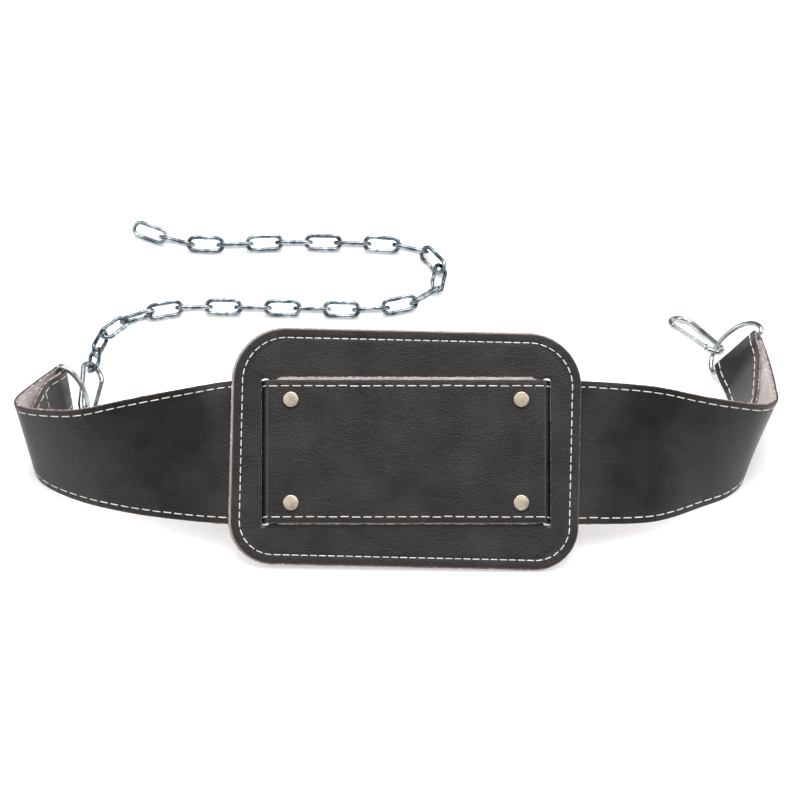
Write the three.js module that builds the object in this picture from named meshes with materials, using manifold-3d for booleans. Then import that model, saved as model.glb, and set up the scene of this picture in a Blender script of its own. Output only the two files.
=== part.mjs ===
// Leather dip belt standing open on its lower edge, with its chain laid out behind it.
// A lined leather strap runs through two slots of a back pad and is riveted to it, and each
// end folds round the bar of a D ring. A spring hook hangs on each ring, and the chain starts
// at the left one. Millimetres: X to the right, Y away from the pad's face, Z up.
import * as THREE from "three";
import { mergeVertices } from "three/addons/utils/BufferGeometryUtils.js";
import Module from "manifold-3d";

const wasm = await Module();
wasm.setup();

// Strap: two plies, black leather outside and suede inside
const strap_width = 122;
const leather_ply = 1.5;
const suede_ply = 1.5;
const ply_gap = 0.3;
const half_span = 313; // from the middle of the strap to where its end turns back
const stand_depth = 240; // how far back the ends reach
const fold_width = 46; // width of the end that wraps the ring
const tab_length = { left: 62, right: 84 }; // stitched end, back from the fold
const tab_spare = 0.2; // between the tab and the strap, over the gap of pieces that touch
const behind_pad_shares = { near: 0.44, far: 0.505 }; // of the pad's width, where the wing leaves it

// Back pad
const pad_width = 294;
const pad_height = 200;
const pad_top_radius = 45;
const pad_low_radius = 36;
const pad_leather = 1.6;
const pad_suede = 1.3;
const pad_suede_rim = 1.1; // suede that shows past the leather's edge
const pad_suede_left = 0.9; // the suede sits a little to the left and up
const pad_suede_up = 0.4;
const pad_lean = 52; // degrees back from upright
const pad_turn = -1.3; // degrees, the pad hangs a little turned on the strap
const strap_on_pad = 36.5; // lower edge of the strap above the pad's lower edge
const slot_span = 238; // between the two slots
const slot_spare = 4.5; // slot past each edge of the strap, where it narrows to a slit
const slot_slope = 66; // degrees, the strap's dip through a slot
const slot_bend = 3; // radius of that dip
const slot_gap = 0.35;

// Rivets
const rivet_head = 13;
const rivet_rise = 3.2;
const rivet_shank = 4.6;
const rivet_tail = 10;
const rivet_tail_rise = 1.2;
const rivet_tail_round = { in: 0.6, up: 0.5 };
const rivet_foot = { in: 0.5, up: 0.6 }; // the head narrows where it meets the leather
const rivet_shoulder = { start: 1.1, in: 0.4, up: 0.4 };
const rivet_crown = { in: 1.3, up: 0.05 };
const rivet_gap = 0.3;
const rivet_side = 21.5; // rivet's middle from the slot
const rivet_edge = 17; // rivet's middle from the strap's edge

// D rings
const ring_wire = 4.5;
const ring_depth = 26;
const ring_corner = 4;
const ring_spare = 1; // bar past each edge of the fold
const bar_gap = 0.35;

// Spring hooks
const hook_length = 66;
const hook_wire = 5;
const hook_ring_radius = 7.5;
const hook_far_radius = 11;
const gate_wire = 4.4;
const gate_gap = 0.4;
const hinge_from_bend = 3;
const tongue_thickness = 1.6;
const tongue_gap = 0.3;
const pin_diameter = 1.5;
const pin_gap = 0.3;
const tongue_root = { wire: 2.7, cut: 2.6 }; // back from the hinge, the wire's end and its flat
const tongue_cut = 8;
const gate_start = 0.5;
const gate_eye_share = 0.82; // length of the gate's eye and pin, shares of its wire
const gate_pin_share = 0.8;
const tongue_clear = 0.7; // the gate's slot past its eye

// Chain
const link_length = 33.2;
const link_width = 15;
const link_wire = 3.6;
const link_gap = 1.0;
const link_count = 26;
const link_roll = 45; // degrees, the links lean left and right in turn

const touch_gap = 0.3;
const hang_gap = 0.7; // between a hook's wire and the ring that it hangs on
const wire_sides = 6;

const rad = THREE.MathUtils.degToRad;
const strap_ply = leather_ply + ply_gap + suede_ply;
const pad_ply = pad_leather + ply_gap + pad_suede;

// The turned pad stands on one lower corner of its suede, which sets its height over the floor.
const pad_dip =
  pad_suede_rim - pad_suede_up + (pad_width / 2 - pad_low_radius) * Math.sin(rad(Math.abs(pad_turn)));
const pad_low_edge = pad_dip * Math.cos(rad(pad_lean)) + pad_ply * Math.sin(rad(pad_lean));

const black_leather = new THREE.MeshStandardMaterial({ color: 0x232122, roughness: 0.42, metalness: 0 });
const pale_suede = new THREE.MeshStandardMaterial({ color: 0xcdbcb4, roughness: 0.95, metalness: 0 });
const nickel = new THREE.MeshStandardMaterial({ color: 0xc9bea6, roughness: 0.35, metalness: 1 });
const zinc_steel = new THREE.MeshStandardMaterial({ color: 0xb9c2c6, roughness: 0.28, metalness: 1 });

const belt = new THREE.Group();

function vec(x, y, z) {
  return new THREE.Vector3(x, y, z);
}

function add_piece(name, geometry, material, parent = belt) {
  const mesh = new THREE.Mesh(geometry, material);
  mesh.name = name;
  parent.add(mesh);
  return mesh;
}

function solid(geometry) {
  const bare = geometry.clone();
  bare.deleteAttribute("normal");
  bare.deleteAttribute("uv");
  const merged = mergeVertices(bare, 1e-4);
  return new wasm.Manifold(
    new wasm.Mesh({
      numProp: 3,
      vertProperties: merged.attributes.position.array,
      triVerts: new Uint32Array(merged.index.array),
    }),
  );
}

function shape_of(body) {
  const mesh = body.getMesh();
  const geometry = new THREE.BufferGeometry();
  geometry.setAttribute("position", new THREE.BufferAttribute(mesh.vertProperties, 3));
  geometry.setIndex(new THREE.BufferAttribute(mesh.triVerts, 1));
  return geometry;
}

// Skin over a row of equal outlines; the row closes on itself or gets two flat ends. The two
// halves of an outline are cut along matching diagonals, so a twisted sheet keeps its thickness.
function skin(outlines, closed) {
  const sides = outlines[0].length;
  const positions = outlines.flat().flatMap((p) => [p.x, p.y, p.z]);
  const faces = [];
  const spans = closed ? outlines.length : outlines.length - 1;
  for (let i = 0; i < spans; i++) {
    for (let j = 0; j < sides; j++) {
      const a = i * sides + j;
      const b = i * sides + ((j + 1) % sides);
      const c = ((i + 1) % outlines.length) * sides + ((j + 1) % sides);
      const d = ((i + 1) % outlines.length) * sides + j;
      if (2 * j < sides) faces.push(a, b, c, a, c, d);
      else faces.push(a, b, d, b, c, d);
    }
  }
  if (!closed) {
    const last = (outlines.length - 1) * sides;
    for (let j = 1; j < sides - 1; j++) {
      faces.push(0, j + 1, j);
      faces.push(last, last + j, last + j + 1);
    }
  }
  const geometry = new THREE.BufferGeometry();
  geometry.setAttribute("position", new THREE.Float32BufferAttribute(positions, 3));
  geometry.setIndex(faces);
  return geometry;
}

// Direction of a row of points at point i.
function heading(points, i, closed) {
  const n = points.length;
  const before = closed ? points[(i + n - 1) % n] : points[Math.max(i - 1, 0)];
  const after = closed ? points[(i + 1) % n] : points[Math.min(i + 1, n - 1)];
  return after.clone().sub(before).normalize();
}

// Round wire along a flat row of points; flat_normal is square to the plane that they lie in.
function wire(points, diameter, flat_normal, closed) {
  const outlines = points.map((point, i) => {
    const ahead = heading(points, i, closed);
    const side = new THREE.Vector3().crossVectors(flat_normal, ahead).normalize();
    const outline = [];
    for (let j = 0; j < wire_sides; j++) {
      const turn = (2 * Math.PI * (j + 0.5)) / wire_sides;
      outline.push(
        point
          .clone()
          .addScaledVector(side, (Math.cos(turn) * diameter) / 2)
          .addScaledVector(flat_normal, (Math.sin(turn) * diameter) / 2),
      );
    }
    return outline;
  });
  return skin(outlines, closed);
}

// Points of an arc in the XY plane, both ends included.
function arc(cx, cy, rx, ry, from, to, steps) {
  const points = [];
  for (let i = 0; i <= steps; i++) {
    const turn = rad(from + ((to - from) * i) / steps);
    points.push(vec(cx + rx * Math.cos(turn), cy + ry * Math.sin(turn), 0));
  }
  return points;
}

// Pad frame: X along the strap, Y up the pad, Z out of its leather face
const pad_frame = new THREE.Group();
pad_frame.position.z = pad_low_edge;
pad_frame.rotation.x = rad(90 - pad_lean);
belt.add(pad_frame);
pad_frame.updateMatrixWorld(true);

function on_pad(along, up, out) {
  return vec(along, up, out).applyMatrix4(pad_frame.matrixWorld);
}

// One section of the strap: its lower and upper edge on the middle surface between the plies
function section(low, top) {
  return { low, top };
}

function pad_section(along, out) {
  return section(on_pad(along, strap_on_pad, out), on_pad(along, strap_on_pad + strap_width, out));
}

const front_level = touch_gap + strap_ply / 2;
const back_level = -(pad_ply + touch_gap + strap_ply / 2);

// The strap's dip through one slot, from in front of the pad to behind it.
function slot_dip(side) {
  const slope = rad(slot_slope);
  const bend_drop = slot_bend * (1 - Math.cos(slope));
  const straight = (front_level - back_level - 2 * bend_drop) / Math.tan(slope);
  const half = slot_bend * Math.sin(slope) + straight / 2;
  const middle = (slot_span / 2) * side;
  const steps = 4;
  const sections = [];
  for (let i = 0; i <= steps; i++) {
    const turn = (slope * i) / steps;
    const along = -half + slot_bend * Math.sin(turn);
    sections.push(pad_section(middle + side * along, front_level - slot_bend * (1 - Math.cos(turn))));
  }
  for (let i = steps; i >= 0; i--) {
    const turn = (slope * i) / steps;
    const along = half - slot_bend * Math.sin(turn);
    sections.push(pad_section(middle + side * along, back_level + slot_bend * (1 - Math.cos(turn))));
  }
  return sections;
}

const slope_share = Math.sin(rad(slot_slope));
const slot_width = pad_ply / Math.tan(rad(slot_slope)) + strap_ply / slope_share + 2 * slot_gap;

// Sections of each wing from the pad's edge to the fold. out is a share of half_span, back of
// stand_depth, up and wide of strap_width; back_lean and out_lean are degrees from upright.
const wings = {
  left: [
    { out: 0.587, back: 0.17, up: 0.147, wide: 0.927, back_lean: 41, out_lean: 0 },
    { out: 0.75, back: 0.248, up: 0.074, wide: 0.811, back_lean: 31, out_lean: 0.5 },
    { out: 0.885, back: 0.333, up: 0.025, wide: 0.685, back_lean: 22, out_lean: 3 },
    { out: 0.967, back: 0.41, up: 0.006, wide: 0.642, back_lean: 13, out_lean: 7 },
    { out: 0.997, back: 0.467, up: 0.003, wide: 0.620, back_lean: 9, out_lean: 13 },
    { out: 1.0, back: 0.542, up: 0.004, wide: 0.576, back_lean: 6, out_lean: 14 },
    { out: 0.974, back: 0.658, up: 0.019, wide: 0.487, back_lean: 5, out_lean: 10 },
    { out: 0.933, back: 0.783, up: 0.052, wide: 0.377, back_lean: 2, out_lean: 7 },
  ],
  right: [
    { out: 0.668, back: 0.182, up: 0.115, wide: 0.951, back_lean: 36, out_lean: 0 },
    { out: 0.799, back: 0.29, up: 0.049, wide: 0.802, back_lean: 27, out_lean: 3 },
    { out: 0.869, back: 0.358, up: 0.016, wide: 0.728, back_lean: 20, out_lean: 10 },
    { out: 0.904, back: 0.425, up: 0.004, wide: 0.679, back_lean: 12, out_lean: 14 },
    { out: 0.915, back: 0.5, up: 0.003, wide: 0.643, back_lean: 7, out_lean: 20 },
    { out: 0.907, back: 0.625, up: 0.004, wide: 0.582, back_lean: 3, out_lean: 24 },
    { out: 0.883, back: 0.792, up: 0.013, wide: 0.475, back_lean: 12, out_lean: 34 },
    { out: 0.858, back: 0.961, up: 0.041, wide: 0.377, back_lean: 29, out_lean: 51 },
  ],
};

function wing_section(row, side, is_fold) {
  const low = vec(side * half_span * row.out, stand_depth * row.back, strap_width * row.up);
  const rise = vec(side * Math.tan(rad(row.out_lean)), Math.tan(rad(row.back_lean)), 1).normalize();
  const width = is_fold ? fold_width : strap_width * row.wide;
  return section(low, low.clone().addScaledVector(rise, width));
}

// Smooth run through a row of sections, with a few in between.
function smooth(sections) {
  const low = new THREE.CatmullRomCurve3(sections.map((s) => s.low));
  const top = new THREE.CatmullRomCurve3(sections.map((s) => s.top));
  return (share) => section(low.getPoint(share), top.getPoint(share));
}

function middle(s) {
  return s.low.clone().add(s.top).multiplyScalar(0.5);
}

// The end of one wing: the fold round the ring's bar and the stitched tab that runs back inside
function wing(side_name, side) {
  const rows = wings[side_name];
  const behind_pad = [
    pad_section(side * pad_width * behind_pad_shares.near, back_level),
    pad_section(side * pad_width * behind_pad_shares.far, back_level - 2 * touch_gap),
  ];
  const chosen = rows.map((row, i) => wing_section(row, side, i === rows.length - 1));
  const run = smooth([...behind_pad, ...chosen]);
  const steps = 44;
  const sections = [];
  for (let i = 1; i <= steps; i++) sections.push(run(i / steps));

  const last = sections[steps - 1];
  const bar = last.top.clone().sub(last.low).normalize();
  const ahead = middle(last).sub(middle(sections[steps - 2]));
  ahead.addScaledVector(bar, -ahead.dot(bar)).normalize();
  const inward = new THREE.Vector3().crossVectors(bar, ahead).multiplyScalar(side).normalize();
  const bend = ring_wire / 2 + bar_gap + strap_ply / 2;
  const fold_steps = 8;
  for (let i = 1; i <= fold_steps; i++) {
    const turn = (Math.PI * i) / fold_steps;
    const shift = inward.clone().multiplyScalar(bend * (1 - Math.cos(turn)));
    shift.addScaledVector(ahead, bend * Math.sin(turn));
    sections.push(section(last.low.clone().add(shift), last.top.clone().add(shift)));
  }

  // Tab: along is a share of tab_length, low and top are shares of its width cut away, and close
  // is how far it has come from the fold's width to lie on the strap
  const tab = [
    { along: 0.12, low: 0.01, top: 0.02, close: 0.2 },
    { along: 0.24, low: 0.02, top: 0.05, close: 0.62 },
    { along: 0.38, low: 0.05, top: 0.1, close: 1 },
    { along: 0.56, low: 0.08, top: 0.18, close: 1 },
    { along: 0.72, low: 0.1, top: 0.26, close: 1 },
    { along: 0.85, low: 0.13, top: 0.34, close: 1 },
    { along: 0.95, low: 0.2, top: 0.46, close: 1 },
    { along: 1.0, low: 0.3, top: 0.58, close: 1 },
  ];
  const flat_gap = strap_ply + touch_gap + tab_spare;
  const tiny = 0.002;
  for (const row of tab) {
    const distance = row.along * tab_length[side_name];
    let share = 1;
    let walked = 0;
    let here = middle(run(share));
    while (walked < distance) {
      share -= tiny;
      const next = middle(run(share));
      walked += next.distanceTo(here);
      here = next;
    }
    const base = run(share);
    const across = base.top.clone().sub(base.low);
    const along = middle(run(share + 2 * tiny)).sub(middle(run(share - 2 * tiny)));
    const inside = new THREE.Vector3().crossVectors(across, along).multiplyScalar(side).normalize();
    const apart = THREE.MathUtils.lerp(2 * bend, flat_gap, row.close);
    const low = base.low.clone().addScaledVector(across, row.low).addScaledVector(inside, apart);
    const top = base.top.clone().addScaledVector(across, -row.top).addScaledVector(inside, apart);
    sections.push(section(low, top));
  }
  const bar_middle = middle(last).addScaledVector(inward, bend);
  return { sections, bar, ahead, bar_middle };
}

// One ply of the strap: a thin skin between two distances from the middle surface.
function ply(sections, inner, outer) {
  const lows = sections.map((s) => s.low);
  const tops = sections.map((s) => s.top);
  const outlines = sections.map((s, i) => {
    const across = s.top.clone().sub(s.low);
    const ahead = heading(lows, i, false).add(heading(tops, i, false));
    const out = new THREE.Vector3().crossVectors(ahead, across).normalize();
    return [
      s.low.clone().addScaledVector(out, inner),
      s.top.clone().addScaledVector(out, inner),
      s.top.clone().addScaledVector(out, outer),
      s.low.clone().addScaledVector(out, outer),
    ];
  });
  return skin(outlines, false);
}

const left = wing("left", -1);
const right = wing("right", 1);
const strap_run = [
  ...left.sections.toReversed(),
  ...slot_dip(-1).toReversed(),
  ...slot_dip(1),
  ...right.sections,
];

// Rivets' places on the pad, and the holes that they pass through
const rivet_places = [];
for (const side of [-1, 1]) {
  for (const up of [strap_width - rivet_edge, rivet_edge]) {
    rivet_places.push([side * (slot_span / 2 - rivet_side), strap_on_pad + up]);
  }
}

function drilled(geometry) {
  let body = solid(geometry);
  for (const [along, up] of rivet_places) {
    const drill = new THREE.CylinderGeometry(
      rivet_shank / 2 + rivet_gap,
      rivet_shank / 2 + rivet_gap,
      40,
      10,
    );
    drill.rotateX(Math.PI / 2);
    drill.translate(along, up, 0);
    drill.applyMatrix4(pad_frame.matrixWorld);
    body = body.subtract(solid(drill));
  }
  return shape_of(body);
}

add_piece(
  "strap_leather",
  drilled(ply(strap_run, ply_gap / 2, ply_gap / 2 + leather_ply)),
  black_leather,
);
add_piece("strap_lining", drilled(ply(strap_run, -ply_gap / 2 - suede_ply, -ply_gap / 2)), pale_suede);

// Back pad: rounded outline with the two slots and the rivet holes
function pad_outline(rim, left, up) {
  const w = pad_width / 2 + rim;
  const h = pad_height / 2 + rim;
  const t = pad_top_radius + rim;
  const l = pad_low_radius + rim;
  const middle_up = pad_height / 2;
  const outline = [
    ...arc(w - l, -h + l, l, l, -90, 0, 7),
    ...arc(w - t, h - t, t, t, 0, 90, 8),
    ...arc(-w + t, h - t, t, t, 90, 180, 8),
    ...arc(-w + l, -h + l, l, l, 180, 270, 7),
  ];
  const turn = rad(pad_turn);
  const shape = new THREE.Shape(
    outline.map((p) => {
      const x = p.x * Math.cos(turn) - p.y * Math.sin(turn);
      const y = p.x * Math.sin(turn) + p.y * Math.cos(turn);
      return new THREE.Vector2(x - left, y + middle_up + up);
    }),
  );
  const slot_low = strap_on_pad - slot_gap;
  const slot_top = strap_on_pad + strap_width + slot_gap;
  for (const side of [-1, 1]) {
    const middle_x = (side * slot_span) / 2;
    const half = slot_width / 2;
    shape.holes.push(
      new THREE.Path([
        ...arc(middle_x, slot_top, half, slot_spare, 0, 180, 6).map((p) => new THREE.Vector2(p.x, p.y)),
        ...arc(middle_x, slot_low, half, slot_spare, 180, 360, 6).map((p) => new THREE.Vector2(p.x, p.y)),
      ]),
    );
  }
  for (const [rivet_along, rivet_up] of rivet_places) {
    const hole = rivet_shank / 2 + rivet_gap;
    const points = arc(rivet_along, rivet_up, hole, hole, 0, 324, 9);
    shape.holes.push(new THREE.Path(points.map((p) => new THREE.Vector2(p.x, p.y))));
  }
  return shape;
}

function pad_sheet(outline, thickness, back) {
  const sheet = new THREE.ExtrudeGeometry(outline, { depth: thickness, bevelEnabled: false });
  sheet.translate(0, 0, back);
  return sheet;
}

const leather_outline = pad_outline(0, 0, 0);
const suede_outline = pad_outline(pad_suede_rim, pad_suede_left, pad_suede_up);
add_piece("pad_leather", pad_sheet(leather_outline, pad_leather, -pad_leather), black_leather, pad_frame);
add_piece("pad_lining", pad_sheet(suede_outline, pad_suede, -pad_ply), pale_suede, pad_frame);

// Capped rivets through the strap and the pad
function rivet() {
  const top = front_level + strap_ply / 2 + touch_gap;
  const bottom = -pad_ply - touch_gap;
  const head = rivet_head / 2;
  const profile = [
    [0, bottom - rivet_tail_rise],
    [rivet_tail / 2 - rivet_tail_round.in, bottom - rivet_tail_rise],
    [rivet_tail / 2, bottom - rivet_tail_round.up],
    [rivet_tail / 2, bottom],
    [rivet_shank / 2, bottom],
    [rivet_shank / 2, top],
    [head - rivet_foot.in, top],
    [head, top + rivet_foot.up],
    [head, top + rivet_rise - rivet_shoulder.start],
    [head - rivet_shoulder.in, top + rivet_rise - rivet_shoulder.up],
    [head - rivet_crown.in, top + rivet_rise - rivet_crown.up],
    [0, top + rivet_rise],
  ];
  const turned = new THREE.LatheGeometry(
    profile.map(([r, z]) => new THREE.Vector2(r, z)),
    14,
  );
  turned.rotateX(Math.PI / 2);
  return turned;
}

rivet_places.forEach(([along, up], i) => {
  const piece = add_piece(`rivet_${i + 1}`, rivet(), nickel, pad_frame);
  piece.position.set(along, up, 0);
});

// D ring in its own plane: X along the bar, Y towards the middle of the bow
function ring_points() {
  const half_bar = fold_width / 2 + ring_spare;
  const half_bow = half_bar + ring_corner;
  const bow = ring_depth - ring_corner;
  return [
    ...arc(half_bar, ring_corner, ring_corner, ring_corner, -90, 0, 3).slice(0, -1),
    ...arc(0, ring_corner, half_bow, bow, 0, 180, 14).slice(0, -1),
    ...arc(-half_bar, ring_corner, ring_corner, ring_corner, 180, 270, 3),
    vec(0, 0, 0),
  ];
}

// Basis matrix from an X direction and a rough Y direction, at a place.
function frame_at(x_axis, rough_y, place) {
  const x = x_axis.clone().normalize();
  const y = rough_y.clone().addScaledVector(x, -rough_y.dot(x)).normalize();
  const z = new THREE.Vector3().crossVectors(x, y);
  return new THREE.Matrix4().makeBasis(x, y, z).setPosition(place);
}

// Where each ring and hook points. bow_at is the hook's place on the ring's bow, in degrees
// from the upper end of the bar; hook_across is the direction of the hook's gate side.
const hang = {
  left: {
    ring_to: vec(0.8, -0.6, 0),
    bow_at: 118,
    hook_to: vec(0.1, 0.99, -0.06),
    hook_across: vec(1, 0, -1),
  },
  right: {
    ring_to: vec(-0.23, 0.97, 0.02),
    bow_at: 124,
    hook_to: vec(-0.62, 0.78, -0.12),
    hook_across: vec(-0.73, -0.52, 0.4),
  },
};

// Open outline of the hook: from the hinge round the ring end, the spine and the far end
const far_centre = hook_length - hook_wire - hook_ring_radius - hook_far_radius;
const splay = Math.asin((hook_far_radius - hook_ring_radius) / far_centre);
const side_length = far_centre * Math.cos(splay);
const gate_length = side_length - hinge_from_bend;

function hook_frame_on_gate() {
  const square = vec(-Math.sin(splay), Math.cos(splay), 0);
  const along = vec(Math.cos(splay), Math.sin(splay), 0);
  const hinge = square.clone().multiplyScalar(hook_ring_radius).addScaledVector(along, hinge_from_bend);
  return new THREE.Matrix4().makeBasis(along, square, vec(0, 0, 1)).setPosition(hinge);
}

function hook_body() {
  const turned = THREE.MathUtils.radToDeg(splay);
  const to_hinge = hook_frame_on_gate();
  const points = [
    vec(0, 0, 0).applyMatrix4(to_hinge),
    vec(-tongue_root.wire, 0, 0).applyMatrix4(to_hinge),
    ...arc(0, 0, hook_ring_radius, hook_ring_radius, 90 + turned, 270 - turned, 9),
    ...arc(far_centre, 0, hook_far_radius, hook_far_radius, -90 - turned, 90 + turned, 12),
  ];
  let body = solid(wire(points, hook_wire, vec(0, 0, 1), false));
  for (const face of [-1, 1]) {
    const cut = new THREE.BoxGeometry(tongue_cut, 2 * hook_wire, hook_wire);
    cut.translate(tongue_cut / 2 - tongue_root.cut, 0, (face * (tongue_thickness + hook_wire)) / 2);
    cut.applyMatrix4(to_hinge);
    body = body.subtract(solid(cut));
  }
  const eye = new THREE.CylinderGeometry(gate_wire / 2, gate_wire / 2, tongue_thickness, 14);
  eye.rotateX(Math.PI / 2).applyMatrix4(to_hinge);
  const hole_radius = pin_diameter / 2 + pin_gap;
  const hole = new THREE.CylinderGeometry(hole_radius, hole_radius, hook_wire, 10);
  hole.rotateX(Math.PI / 2).applyMatrix4(to_hinge);
  return shape_of(body.add(solid(eye)).subtract(solid(hole)));
}

// The gate in its own frame: the hinge is at the origin, and its pin lies along Z.
function hook_gate() {
  const reach = gate_length - gate_gap;
  let body = solid(wire([vec(gate_start, 0, 0), vec(reach, 0, 0)], gate_wire, vec(0, 0, 1), false));
  const eye = new THREE.CylinderGeometry(gate_wire / 2, gate_wire / 2, gate_wire * gate_eye_share, 14);
  body = body.add(solid(eye.rotateX(Math.PI / 2)));
  const slot_length = gate_wire / 2 + tongue_clear;
  const slot = new THREE.BoxGeometry(2 * slot_length, 2 * gate_wire, tongue_thickness + 2 * tongue_gap);
  body = body.subtract(solid(slot));
  const pin = new THREE.CylinderGeometry(pin_diameter / 2, pin_diameter / 2, gate_wire * gate_pin_share, 8);
  body = body.add(solid(pin.rotateX(Math.PI / 2)));
  return shape_of(body);
}

// Ring and hook of one end; gives back where the next thing hangs in the hook, and how the
// hook's wire runs there.
function hang_end(name, side_wing) {
  const plan = hang[name];
  const ring_frame = frame_at(side_wing.bar, plan.ring_to, side_wing.bar_middle);
  const ring = wire(ring_points(), ring_wire, vec(0, 0, 1), true);
  add_piece(`ring_${name}`, ring.applyMatrix4(ring_frame), zinc_steel);

  const half_bow = fold_width / 2 + ring_spare + ring_corner;
  const bow_turn = rad(plan.bow_at);
  const on_bow = vec(
    half_bow * Math.cos(bow_turn),
    ring_corner + (ring_depth - ring_corner) * Math.sin(bow_turn),
    0,
  ).applyMatrix4(ring_frame);
  const hook_frame = frame_at(plan.hook_to, plan.hook_across, vec(0, 0, 0));
  const inner = hook_ring_radius - hook_wire / 2 - hang_gap - ring_wire / 2;
  const seat = vec(-inner, 0, 0).applyMatrix4(hook_frame);
  hook_frame.setPosition(on_bow.clone().sub(seat));
  const hook = new THREE.Group();
  hook.applyMatrix4(hook_frame);
  belt.add(hook);
  add_piece(`hook_${name}`, hook_body(), zinc_steel, hook);
  const gate = add_piece(`hook_gate_${name}`, hook_gate(), zinc_steel, hook);
  gate.applyMatrix4(hook_frame_on_gate());
  const far = far_centre + hook_far_radius - hook_wire / 2 - touch_gap + link_gap / 2;
  return {
    place: vec(far, 0, 0).applyMatrix4(hook_frame),
    wire_way: vec(0, 1, 0).transformDirection(hook_frame),
  };
}

const chain_start = hang_end("left", left);
hang_end("right", right);

// Chosen points of the chain's way from the left hook to its free end: X, Y and, near the hook,
// the height over the chain's resting height
const chain_route = [
  [-262, 262, 3.6],
  [-244, 289, 1.6],
  [-225, 300],
  [-200, 308],
  [-98, 308],
  [-30, 307],
  [3, 314],
  [24, 329],
  [31, 350],
  [21, 373],
  [-1, 383],
  [-51, 387],
  [-101, 388],
  [-175, 385],
  [-198, 390],
  [-245, 413],
  [-300, 438],
];

// One link: straight sides and round ends
function link_points() {
  const end = (link_width - link_wire) / 2;
  const straight = (link_length - link_wire) / 2 - end;
  return [...arc(straight, 0, end, end, -90, 90, 6), ...arc(-straight, 0, end, end, 90, 270, 6)];
}

function build_chain() {
  const lean = rad(link_roll);
  const rest = ((link_width - link_wire) / 2) * Math.sin(lean) + link_wire / 2;
  const step = link_length - 2 * link_wire - link_gap;
  const points = [chain_start.place, ...chain_route.map(([x, y, lift = 0]) => vec(x, y, rest + lift))];
  const route = new THREE.CatmullRomCurve3(points);
  const joints = [chain_start.place];
  let share = 0;
  while (joints.length <= link_count && share < 1) {
    share += 0.0002;
    const here = route.getPoint(share);
    if (here.distanceTo(joints[joints.length - 1]) >= step) joints.push(here);
  }
  const up = vec(0, 0, 1);
  const first_ahead = joints[1].clone().sub(joints[0]).normalize();
  const level = new THREE.Vector3().crossVectors(up, first_ahead).normalize();
  const square = new THREE.Vector3().crossVectors(chain_start.wire_way, first_ahead).normalize();
  let first_lean = Math.atan2(level.clone().cross(square).dot(first_ahead), level.dot(square));
  if (first_lean > lean + Math.PI / 2) first_lean -= Math.PI;
  if (first_lean < lean - Math.PI / 2) first_lean += Math.PI;
  for (let i = 1; i < joints.length; i++) {
    const ahead = joints[i].clone().sub(joints[i - 1]).normalize();
    const settle = Math.min(1, (i - 1) / 4);
    const quarter = i % 2 ? 0 : -Math.PI / 2;
    const side = new THREE.Vector3().crossVectors(up, ahead).normalize();
    side.applyAxisAngle(ahead, THREE.MathUtils.lerp(first_lean, lean, settle) + quarter);
    const place = joints[i].clone().add(joints[i - 1]).multiplyScalar(0.5);
    const link = wire(link_points(), link_wire, vec(0, 0, 1), true);
    add_piece(
      `chain_link_${String(i).padStart(2, "0")}`,
      link.applyMatrix4(frame_at(ahead, side, place)),
      zinc_steel,
    );
  }
}

build_chain();

// The origin lies under the middle of the whole part, on the floor.
belt.updateMatrixWorld(true);
const bounds = new THREE.Box3().setFromObject(belt, true);
const centre = bounds.getCenter(vec(0, 0, 0));
belt.position.set(-centre.x, -centre.y, -bounds.min.z);

export default belt;
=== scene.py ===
# %% [markdown]
# A leather dip belt stands open on its lower edge. The strap, the pad, the rivets, the rings,
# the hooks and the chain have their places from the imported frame; this file gives each of them
# its finished surface. Everything here is in metres. The frame is loaded first, so that every
# later cell can ask where a node lies.

# %% Load the frame
import math

import bpy
import numpy as np
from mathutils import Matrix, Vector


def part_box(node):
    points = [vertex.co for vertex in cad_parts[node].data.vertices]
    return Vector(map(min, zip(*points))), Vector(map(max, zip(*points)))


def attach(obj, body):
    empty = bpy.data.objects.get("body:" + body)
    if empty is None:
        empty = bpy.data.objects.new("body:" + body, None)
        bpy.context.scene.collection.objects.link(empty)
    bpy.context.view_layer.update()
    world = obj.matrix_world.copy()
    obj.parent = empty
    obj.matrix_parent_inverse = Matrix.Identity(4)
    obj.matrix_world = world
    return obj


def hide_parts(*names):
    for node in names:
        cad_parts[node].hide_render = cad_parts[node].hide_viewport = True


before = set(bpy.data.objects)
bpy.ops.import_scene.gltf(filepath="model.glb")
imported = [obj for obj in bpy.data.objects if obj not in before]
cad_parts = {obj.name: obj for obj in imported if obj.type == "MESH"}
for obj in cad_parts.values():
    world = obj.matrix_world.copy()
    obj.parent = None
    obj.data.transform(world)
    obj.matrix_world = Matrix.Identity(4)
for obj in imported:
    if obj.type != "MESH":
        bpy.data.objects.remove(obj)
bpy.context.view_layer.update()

MM = 0.001

# %% [markdown]
# The belt is photographed from in front and above, so the camera looks along +Y and down by
# 45 degrees. A long lens keeps the strap's edges nearly parallel, as they are in the picture.

# %% Camera
VIEW_WIDTH = 0.680
LENS = 1400.0
SENSOR = 36.0
LOOK_DOWN = math.radians(45.0)
AIM = np.array([0.0032, -0.0007, 0.0013])

distance = VIEW_WIDTH * LENS / SENSOR
camera_data = bpy.data.cameras.new("camera")
camera_data.lens = LENS
camera_data.sensor_width = SENSOR
camera_data.clip_end = 100.0
camera = bpy.data.objects.new("camera", camera_data)
camera.location = AIM + distance * np.array([0.0, -math.cos(LOOK_DOWN), math.sin(LOOK_DOWN)])
camera.rotation_euler = (math.pi / 2 - LOOK_DOWN, 0.0, 0.0)
bpy.context.scene.collection.objects.link(camera)
bpy.context.scene.camera = camera
print("camera", round(distance, 3), "m from the belt")

# %% [markdown]
# The floor is a plain pale sheet that glows a little, so shadows on it stay faint. The light
# is a large soft box above and a little behind the belt, with two weaker ones at its sides.
# Black leather shows its grain only where a light is mirrored in it, so the lights are broad.

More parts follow.
